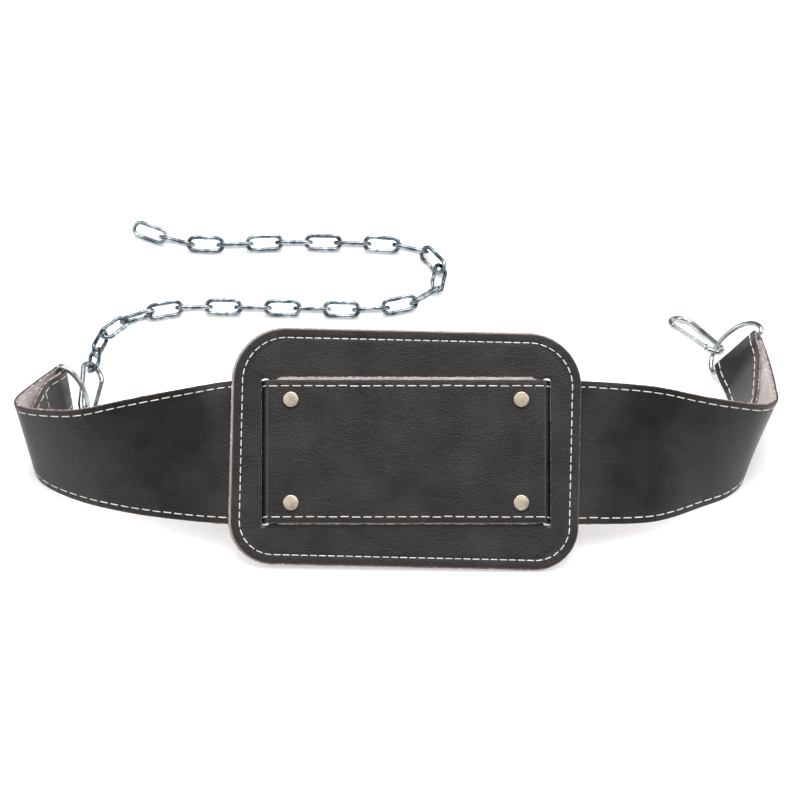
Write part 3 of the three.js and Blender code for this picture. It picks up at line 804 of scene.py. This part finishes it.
# %% Plies of the strap
def ply(name, inner, outer, materials, edge_wear, past=(0.0, 0.0)):
    """A closed sheet between two heights over the middle surface, with round edges.

    The section runs up the outer face, over the top edge, down the inner face and under the
    lower edge. materials are outer face, edges and inner face. Between the pad's slots the
    edges stand past the rulers by the two values of past, below and above. edge_wear is how
    far the edges wander, in millimetres.
    """
    r = (outer - inner) / 2
    share = np.linspace(0.0, 1.0, FACE_COLUMNS)
    edge = np.linspace(0.0, math.pi, 8)[1:-1]
    bare = between_slots[:, None]
    below = past[0] * bare
    w = widths[:, None] + past[1] * bare
    wear = np.random.default_rng(5).normal(0.0, 1.0, len(rulers))
    wear = np.convolve(wear, np.ones(5) / 5, "same")[:, None] * edge_wear
    up_face = r - below + (w + below - 2 * r) * share
    middle = np.full_like(w, (inner + outer) / 2)
    parts = [
        (up_face, np.full_like(up_face, outer), 0),
        (w - r + r * np.sin(edge) + wear, middle + r * np.cos(edge), 1),
        (up_face[:, ::-1], np.full_like(up_face, inner), 2),
        (r - below - r * np.sin(edge) - wear, middle - r * np.cos(edge), 1),
    ]
    up, height = (np.concatenate([part[k] for part in parts], 1) for k in (0, 1))
    kind = np.concatenate([np.full(part[0].shape[1], part[2]) for part in parts])
    dip = face_dip(up, widths[:, None], marks[:, None])
    height = height - np.where(height > 0, dip, -dip)
    numbers = np.broadcast_to(np.arange(len(rulers))[:, None], up.shape)
    slots = np.tile(np.where(kind != np.roll(kind, -1), 1, kind), len(rulers) - 1)
    points = to_world(strap_point(numbers, up, height))
    return make_grid(name, points, materials, slots, flipped=True)


half_gap = PLY_GAP / 2
strap_leather = ply("strap_leather_skin", half_gap, half_gap + STRAP_PLY, BLACK_PLY, 0.05)
past_edges = (LINING_PAST_LOW, LINING_PAST_TOP)
strap_lining = ply("strap_lining_skin", -half_gap - STRAP_PLY, -half_gap, PALE_PLY, 0.3, past_edges)
finish_piece(strap_leather, "root", "black_leather", "strap_leather")
finish_piece(strap_lining, "root", "suede", "strap_lining")
print("strap faces", len(strap_leather.data.polygons), len(strap_lining.data.polygons))

# %% [markdown]
# The pad is a rounded plate of leather on one of suede. Each ply is a surface of two
# parameters: one goes round the outline and the other goes from the middle of the face out,
# over the rounded edge and back to the middle of the other face. The slots are cut out of it.

# %% Pad plies
PAD_STEPS = 22


def pad_ply(name, rim, move, back, front, materials):
    """A rounded plate: rings of the outline shrunk to the middle, rolled over a round edge."""
    outline = rounded_outline(rim, PAD_STEPS) + move
    middle = np.array([0.0, PAD_HEIGHT / 2])
    r = (front - back) / 2
    shares = np.concatenate([np.linspace(0.02, 0.86, 14), np.linspace(0.88, 1.0, 12)])
    inner = rounded_outline(rim - r, PAD_STEPS) + move
    face = middle + (inner - middle) * shares[:, None, None]
    dip = STITCH_DIP * bell((1 - shares) * PAD_HEIGHT / 2 + r - PAD_STITCH_INSET, PAD_GROOVE)
    turn = np.linspace(0.0, math.pi, 9)[1:-1]
    over = inner + unit(outline - inner) * r * np.sin(turn)[:, None, None]
    rings = np.concatenate([face, over, face[::-1]])
    back_face = np.full(len(shares), back)
    level = np.concatenate([front - dip, (front + back) / 2 + r * np.cos(turn), back_face])
    level = np.broadcast_to(level[:, None, None], (len(rings), len(outline), 1))
    kind = np.repeat([0, 1, 2], [len(shares), len(turn), len(shares)])
    slots = np.repeat(np.where(kind[:-1] != kind[1:], 1, kind[:-1]), len(outline))
    points = to_world(on_pad(np.concatenate([rings, level], -1)))
    return make_grid(name, points, materials, slots, flipped=True)


def slot_cutter(side):
    """A bar through the pad at one slot, wider from the leather's back up: a worn lip."""
    low = STRAP_ON_PAD - SLOT_GAP
    top = STRAP_ON_PAD + STRAP_WIDTH + SLOT_GAP
    x = side * SLOT_SPAN / 2
    rings = []
    for level, lip in ((-20.0, 0.0), (-PAD_LEATHER, 0.0), (0.1, SLOT_LIP), (20.0, SLOT_LIP)):
        half = SLOT_WIDTH / 2 + lip
        spare = SLOT_SPARE + lip
        upper = arc(x, top, half, spare, 0.0, 180.0, 12)
        lower = arc(x, low, half, spare, 180.0, 360.0, 12)
        rings.append(at_level(np.concatenate([upper, lower]), level))
    return make_grid(f"slot_{side}", to_world(np.array(rings)), [raw_edge])


def cut_slots(piece):
    """Cuts both slots out of a ply with applied Boolean modifiers, then drops the cutters."""
    for side in (-1, 1):
        cutter = slot_cutter(side)
        cut = piece.modifiers.new("slot", "BOOLEAN")
        cut.operation = "DIFFERENCE"
        cut.solver = "EXACT"
        cut.material_mode = "TRANSFER"
        cut.object = cutter
        bpy.context.view_layer.objects.active = piece
        bpy.ops.object.modifier_apply(modifier=cut.name)
        bpy.data.objects.remove(cutter)


pad_face = pad_ply("pad_leather_plate", 0.0, np.zeros(2), -PAD_LEATHER, 0.0, BLACK_PLY)
suede_move = np.array([-PAD_SUEDE_LEFT, PAD_SUEDE_UP])
suede_front = -pad_thick + PAD_SUEDE
pad_back = pad_ply("pad_lining_plate", PAD_RIM, suede_move, -pad_thick, suede_front, PALE_PLY)
for plate in (pad_face, pad_back):
    cut_slots(plate)
finish_piece(pad_face, "root", "black_leather", "pad_leather")
finish_piece(pad_back, "root", "suede", "pad_lining")
print("pad faces", len(pad_face.data.polygons), len(pad_back.data.polygons))

# %% [markdown]
# A stitch is a short thread that lies on the leather and dives into a hole at each end. One
# small sausage of a few dozen faces is worked out once, and all stitches of a seam are copies
# of it, placed by arrays: each has a middle, a direction along the seam and a normal.

# %% Stitches
STITCH_SHARE = 0.9
INSIDE_SUNK = 0.5
THREAD = 0.78
STITCH_RINGS = 9
STITCH_SIDES = 8
STITCH_LIFT = 0.3
STITCH_DIVE = 0.55
STITCH_WIDE = 1.15
STITCH_FLAT = 0.8
WOBBLE = 0.12
SEAM_END = 6
TAB_SEAM_LEFT = 34
TAB_SEAM_RIGHT = 10
TAB_SEAM_SHARES = (0.1, 0.9)
BACK_SEAM_UP = 0.1


def stitch_seam(name, middles, along, normals, pitch):
    """All stitches of a seam as one mesh: a bent sausage, round in section, sunk at its ends."""
    share = np.linspace(-1.0, 1.0, STITCH_RINGS)
    reach = share * STITCH_SHARE * pitch / 2
    lift = THREAD * (STITCH_LIFT - STITCH_DIVE * np.abs(share) ** 4)
    thin = np.sqrt(np.clip(1 - share**6, 0.03, 1.0))
    cos, sin = circle(STITCH_SIDES)
    side = unit(np.cross(normals, along))[:, None, None]
    centre = middles[:, None] + along[:, None] * reach[:, None] + normals[:, None] * lift[:, None]
    ring = cos[:, None] * side * STITCH_WIDE + sin[:, None] * normals[:, None, None] * STITCH_FLAT
    points = centre[:, :, None] + (THREAD / 2 * thin)[:, None, None] * ring
    size = STITCH_RINGS * STITCH_SIDES
    starts = np.arange(len(middles))[:, None] * size
    quads = (grid_faces(STITCH_RINGS, STITCH_SIDES) + starts[:, None]).reshape(-1, 4)
    heads = starts + np.arange(STITCH_SIDES)[::-1]
    tails = starts + size - STITCH_SIDES + np.arange(STITCH_SIDES)
    faces = quads.tolist() + heads.tolist() + tails.tolist()
    finish_piece(make_object(name, to_world(points), faces, [white_thread]), "root", "suede")


def marks_along(path, pitch):
    """Distances of a path's points, and those of the middles of even steps of about a pitch."""
    walked = walk(path)
    count = max(int(walked[-1] / pitch), 1)
    return walked, (np.arange(count) + 0.5) * walked[-1] / count


print("stitch of", STITCH_RINGS * STITCH_SIDES, "corners")

# %% Seams of the strap
def seam_through(name, numbers, up, height, face, pitch, wobble=0.0):
    """A seam on the strap through row numbers, distances up and one height out."""
    path = strap_point(numbers, up, np.full(len(numbers), height))
    walked, at = marks_along(path, pitch)
    along = unit(read_at(at, walked, unit(np.gradient(path, axis=0))))
    normals = unit(read_at(at, walked, outward[numbers] * face))
    jitter = np.random.default_rng(len(name)).normal(0.0, wobble, (len(at), 1))
    middles = read_at(at, walked, path) + np.cross(normals, along) * jitter
    stitch_seam(name, middles, along, normals, pitch)


def seam_on_strap(name, from_top, face):
    """A seam along the strap at the inset from one edge, on its face or its inside."""
    numbers = np.arange(SEAM_END, len(rulers) - SEAM_END)
    inset = np.full(len(numbers), STITCH_INSET)
    up = widths[numbers] - inset if from_top else inset
    sunk = STITCH_DIP if face > 0 else INSIDE_SUNK
    height = face * (half_gap + STRAP_PLY - sunk)
    seam_through(name, numbers, up, height, face, STITCH_PITCH, WOBBLE)


def seam_across(name, row):
    """A short seam across the strap at one row, on the end that is folded inside."""
    up = widths[row] * np.array(TAB_SEAM_SHARES)
    seam_through(name, np.array([row, row]), up, half_gap + STRAP_PLY, 1, PAD_STITCH_PITCH)


seam_on_strap("stitches_strap_low", False, 1)
seam_on_strap("stitches_strap_top", True, 1)
seam_across("stitches_tab_left", TAB_SEAM_LEFT)
seam_across("stitches_tab_right", len(rulers) - TAB_SEAM_RIGHT)
seam_on_strap("stitches_strap_low_inside", False, -1)
seam_on_strap("stitches_strap_top_inside", True, -1)

# %% Seams of the pad
def seam_on_pad(name, level, face):
    """The pad's seam: the outline moved in by the inset, on its front or its back."""
    path = rounded_outline(-PAD_STITCH_INSET, steps=40)
    path = np.concatenate([path, path[:1]])
    walked, at = marks_along(path, PAD_STITCH_PITCH)
    middles = at_level(read_at(at, walked, path), level)
    after = at_level(read_at(at + 0.5, walked, path), level)
    normals = np.tile(on_pad([0.0, 0.0, face]) - on_pad([0.0, 0.0, 0.0]), (len(at), 1))
    stitch_seam(name, middles, unit(after - middles), normals, PAD_STITCH_PITCH)


seam_on_pad("stitches_pad", -STITCH_DIP, 1)
seam_on_pad("stitches_pad_back", -pad_thick + BACK_SEAM_UP, -1)

# %% [markdown]
# The rivets are turned parts, so each is a profile spun round its axis. The cap is a low drum
# with a rounded shoulder and a slightly domed top.

# %% Rivets
RIVET_HEAD = 13.0
RIVET_RISE = 3.2
RIVET_TAIL = 10.0
RIVET_TAIL_RISE = 1.2
RIVET_SIDE = 21.5
RIVET_EDGE = 17.0
RIVET_SIDES = 64
RIVET_SHOULDER = 0.9
RIVET_DOME = 0.25
RIVET_SHAFT = 2.3
RIVET_TIP = 0.05


def rivet(name, along, up):
    """Profile of radius and height, spun round the rivet's axis on the pad."""
    top = FRONT_LEVEL + strap_thick / 2 + TOUCH_GAP
    tail = -pad_thick - TOUCH_GAP
    foot = tail - RIVET_TAIL_RISE
    rim = top + RIVET_RISE - RIVET_DOME
    head = RIVET_HEAD / 2
    tail_round = RIVET_TAIL / 2
    flat_top = head - RIVET_SHOULDER
    bend = RIVET_SHOULDER
    shoulder = arc(flat_top, rim - bend, bend, bend, 0.0, 90.0, 8)
    inside = np.array([1.2, 2.4, 3.6, 4.8])
    dome_y = rim + RIVET_DOME * (1 - (1 - inside / flat_top) ** 2)
    shaft_and_brim = [
        (RIVET_TIP, foot),
        (tail_round - 1.2, foot),
        (tail_round - 0.3, foot + 0.35),
        (tail_round, tail),
        (tail_round - 0.2, tail + 0.1),
        (RIVET_SHAFT, tail + 0.1),
        (RIVET_SHAFT, top - 0.1),
        (head - 0.3, top - 0.1),
        (head, top + 0.25),
    ]
    dome = np.column_stack([flat_top - inside, dome_y])
    crown = [(RIVET_TIP, top + RIVET_RISE)]
    radius, height = np.concatenate([shaft_and_brim, shoulder, dome, crown]).T
    cos, sin = circle(RIVET_SIDES)
    x = along + radius[:, None] * cos
    y = up + radius[:, None] * sin
    points = on_pad(np.stack([x, y, np.broadcast_to(height[:, None], x.shape)], -1))
    finish_piece(make_grid(f"{name}_cap", to_world(points), [nickel]), "root", "nickel", name)


number = 0
for side in (-1, 1):
    for up in (STRAP_WIDTH - RIVET_EDGE, RIVET_EDGE):
        number += 1
        rivet(f"rivet_{number}", side * (SLOT_SPAN / 2 - RIVET_SIDE), STRAP_ON_PAD + up)
print("rivets", number)

# %% [markdown]
# A chain link is bent wire with a weld at the middle of one side. Each link is symmetrical, so
# its place can be read from its node: the middle is the mean of the corners, and the three
# main directions of the corners are its length, its width and its thickness.

# %% Chain links
LINK_LENGTH = 33.2
LINK_WIDTH = 15.0
LINK_WIRE = 3.6
LINK_SIDES = 14
WELD_SWELL = 0.07
WELD_WIDTH = 1.1
NOTCH_DEPTH = 0.05
NOTCH_PLACE = 2.0
NOTCH_WIDTH = 0.5


def corners_of(mesh):
    """The places of a mesh's vertices as rows."""
    corners = np.empty(len(mesh.vertices) * 3)
    mesh.vertices.foreach_get("co", corners)
    return corners.reshape(-1, 3)


def node_axes(name):
    """Middle and main directions of a node's corners, longest first."""
    corners = np.unique(corners_of(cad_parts[name].data).round(7), axis=0)
    middle = corners.mean(0)
    _, _, ways = np.linalg.svd(corners - middle, full_matrices=False)
    return middle, ways


def link_path():
    """Two straight sides and two half circles, with a small swelling where the wire is welded."""
    end = (LINK_WIDTH - LINK_WIRE) / 2
    straight = (LINK_LENGTH - LINK_WIRE) / 2 - end
    right_end = arc(straight, 0.0, end, end, -90.0, 90.0, 16)
    side_x = np.linspace(straight, -straight, 16)[1:-1]
    upper = np.stack([side_x, np.full(len(side_x), end)], -1)
    path = np.concatenate([right_end, upper, -right_end, -upper])
    x, on_upper = path[:, 0], path[:, 1] > 0
    weld = WELD_SWELL * bell(x, WELD_WIDTH) * on_upper
    notch = NOTCH_DEPTH * bell(np.abs(x) - NOTCH_PLACE, NOTCH_WIDTH) * on_upper
    return path, LINK_WIRE / 2 * (1 + weld - notch)


flat_path, link_radius = link_path()
links = sorted(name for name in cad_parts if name.startswith("chain_link"))
for name in links:
    middle, ways = node_axes(name)
    path = middle / MM + flat_path @ ways[:2]
    wire = tube(path, link_radius, np.cross(ways[0], ways[1]), LINK_SIDES, closed=True)
    piece = make_grid(f"{name}_wire", wire * MM, [zinc], closed=True)
    finish_piece(piece, "root", "zinc_steel", name)
print("links", len(links), "first at", (node_axes(links[0])[0] / MM).round(1))

# %% [markdown]
# Rings and hooks are bent wire too. Their frames follow from the fold: the ring's bar lies in
# it, and the hook hangs on the ring's bow. The printed numbers are the distances between the
# boxes of the finished hooks and of their nodes.

# %% Outlines of rings and hooks
RING_DEPTH = 26.0
RING_CORNER = 4.0
RING_SPARE = 1.0
HOOK_LENGTH = 66.0
HOOK_WIRE = 5.0
HOOK_RING_RADIUS = 7.5
HOOK_FAR_RADIUS = 11.0
HANG_GAP = 0.7
WIRE_SIDES = 20
HINGE_FROM_BEND = 3.0
HINGE_END = (1.6, -0.4, -2.4)
HINGE_FLAT = (0.3, 0.31, 0.62)
# For each side: the ring's way from its bar, the angle of its bow where the hook hangs, and the
# hook's way along and across.
HANG = {
    "left": ((0.8, -0.6, 0.0), 118.0, (0.1, 0.99, -0.06), (1.0, 0.0, -1.0)),
    "right": ((-0.23, 0.97, 0.02), 124.0, (-0.62, 0.78, -0.12), (-0.73, -0.52, 0.4)),
}
far_centre = HOOK_LENGTH - HOOK_WIRE - HOOK_RING_RADIUS - HOOK_FAR_RADIUS
splay = math.asin((HOOK_FAR_RADIUS - HOOK_RING_RADIUS) / far_centre)


def frame_at(x_axis, rough_y, place):
    """A frame from an X direction and a rough Y direction: rows are X, Y, Z, then the place."""
    x = unit(np.array(x_axis, dtype=float))
    y = np.array(rough_y, dtype=float)
    y = unit(y - x * np.dot(x, y))
    return np.array([x, y, np.cross(x, y), place])


def place_in(local, holder):
    """Flat points of a frame, in millimetres, on the maker's axes."""
    return holder[3] + local @ holder[:2]


half_bar = FOLD_WIDTH / 2 + RING_SPARE
half_bow = half_bar + RING_CORNER
bar_x = np.linspace(-half_bar, half_bar, 18)[1:-1]
ring_path = np.concatenate(
    [
        arc(half_bar, RING_CORNER, RING_CORNER, RING_CORNER, -90, 0, 8)[:-1],
        arc(0, RING_CORNER, half_bow, RING_DEPTH - RING_CORNER, 0, 180, 48)[:-1],
        arc(-half_bar, RING_CORNER, RING_CORNER, RING_CORNER, 180, 270, 8),
        np.column_stack([bar_x, np.zeros(len(bar_x))]),
    ]
)
more = math.degrees(splay)
outer_path = np.concatenate(
    [
        arc(0, 0, HOOK_RING_RADIUS, HOOK_RING_RADIUS, 90 + more, 270 - more, 26),
        arc(far_centre, 0, HOOK_FAR_RADIUS, HOOK_FAR_RADIUS, -90 - more, 90 + more, 34),
    ]
)
print("hook's ends", round(far_centre, 1), "mm apart")

# %% Rings and hooks
def make_ring(name, holder):
    """The D ring: round wire along its outline, with its bar in the fold."""
    wire = tube(place_in(ring_path, holder), RING_WIRE / 2, holder[2], WIRE_SIDES, closed=True)
    piece = make_grid(f"ring_{name}_wire", to_world(wire), [bright_zinc], closed=True)
    finish_piece(piece, "root", "zinc_steel", f"ring_{name}")


def hook_frame(name, ring_holder):
    """The hook hangs on the ring's bow at one angle of it, seated with a small gap."""
    _, bow_at, along, across = HANG[name]
    turn = math.radians(bow_at)
    bow_up = RING_CORNER + (RING_DEPTH - RING_CORNER) * math.sin(turn)
    on_bow = np.array([[half_bow * math.cos(turn), bow_up]])
    holder = frame_at(along, across, np.zeros(3))
    inner = HOOK_RING_RADIUS - HOOK_WIRE / 2 - HANG_GAP - RING_WIRE / 2
    holder[3] = place_in(on_bow, ring_holder)[0] + inner * holder[0]
    return holder


square = np.array([-math.sin(splay), math.cos(splay)])
gate_along = np.array([math.cos(splay), math.sin(splay)])
hinge = square * HOOK_RING_RADIUS + gate_along * HINGE_FROM_BEND


def make_hook(name, holder):
    """The hook's bent wire: from its flattened hinge end, round the ring end to the far tip."""
    start = hinge + np.array(HINGE_END)[:, None] * gate_along
    path = place_in(np.concatenate([start, outer_path]), holder)
    wire = tube(path, HOOK_WIRE / 2, holder[2], WIRE_SIDES)
    for row, keep in enumerate(HINGE_FLAT):
        off = (wire[row] - wire[row].mean(0)) @ holder[2]
        wire[row] -= off[:, None] * holder[2] * (1 - keep)
    piece = make_grid(f"hook_{name}_wire", to_world(wire), [bright_zinc])
    finish_piece(piece, "root", "zinc_steel", f"hook_{name}")
    return corners_of(piece.data) / MM


hook_frames = {}
for name, side_wing in (("left", left), ("right", right)):
    ring_frame = frame_at(side_wing["bar"], HANG[name][0], side_wing["bar_middle"])
    make_ring(name, ring_frame)
    hook_frames[name] = hook_frame(name, ring_frame)
    corners = make_hook(name, hook_frames[name])
    node = np.array(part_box(f"hook_{name}")) / MM
    off = (corners.min(0) - node[0]).round(2), (corners.max(0) - node[1]).round(2)
    print(name, "hook off by", *off)

# %% [markdown]
# Each gate is a straight piece of thinner wire that turns on a pin through its end. The wire
# has rounded ends, and the pin's head shows as a dark dot. Both ride on the gate's own body.

# %% Gates
GATE_WIRE = 4.4
GATE_GAP = 0.4
GATE_BLUNT = 3.0
PIN_HEAD = 1.15
PIN_OUT = 0.15
PIN_PROFILE = [(0.1, -1.0), (0.85, -1.0), (1.0, -0.9), (1.0, 0.9), (0.85, 1.0), (0.1, 1.0)]
side_length = far_centre * math.cos(splay)
gate_reach = side_length - HINGE_FROM_BEND - GATE_GAP
dark_pin = metal_material(
    "dark_pin",
    [(0.3, (0.02, 0.02, 0.02)), (0.7, (0.05, 0.05, 0.05))],
    (0.5, 0.6),
    blotch=200.0,
    depth=0.00005,
)


def make_gate(name, holder):
    """Straight wire whose radius follows a quarter circle at each end, and a pin across it."""
    body = f"gate_{name}_body"
    thick = GATE_WIRE / 2
    share = np.linspace(0.0, 1.0, 40)
    along = (gate_reach + thick) * (0.5 - 0.5 * np.cos(math.pi * share)) - thick
    into = np.minimum(along + thick, GATE_BLUNT * (gate_reach - along))
    full = np.clip(into / thick, 0, 1)
    radius = thick * np.sqrt(np.clip(1 - (1 - full) ** 2, 0.02, 1))
    path = place_in(hinge + along[:, None] * gate_along, holder)
    wire = tube(path, radius, holder[2], WIRE_SIDES)
    piece = make_grid(f"gate_{name}_wire", to_world(wire), [bright_zinc])
    finish_piece(piece, body, "zinc_steel", f"hook_gate_{name}")

    radii, heights = (np.array(PIN_PROFILE) * (PIN_HEAD, HOOK_WIRE / 2 + PIN_OUT)).T
    rings = hinge + np.stack(circle(WIRE_SIDES), -1) * radii[:, None, None]
    lifts = heights[:, None] * holder[2]
    pin = np.array([place_in(ring, holder) + lift for ring, lift in zip(rings, lifts)])
    piece = make_grid(f"gate_{name}_pin", to_world(pin), [dark_pin])
    finish_piece(piece, body, "zinc_steel")


for name, holder in hook_frames.items():
    make_gate(name, holder)
print("gates", round(gate_reach, 1), "mm long")
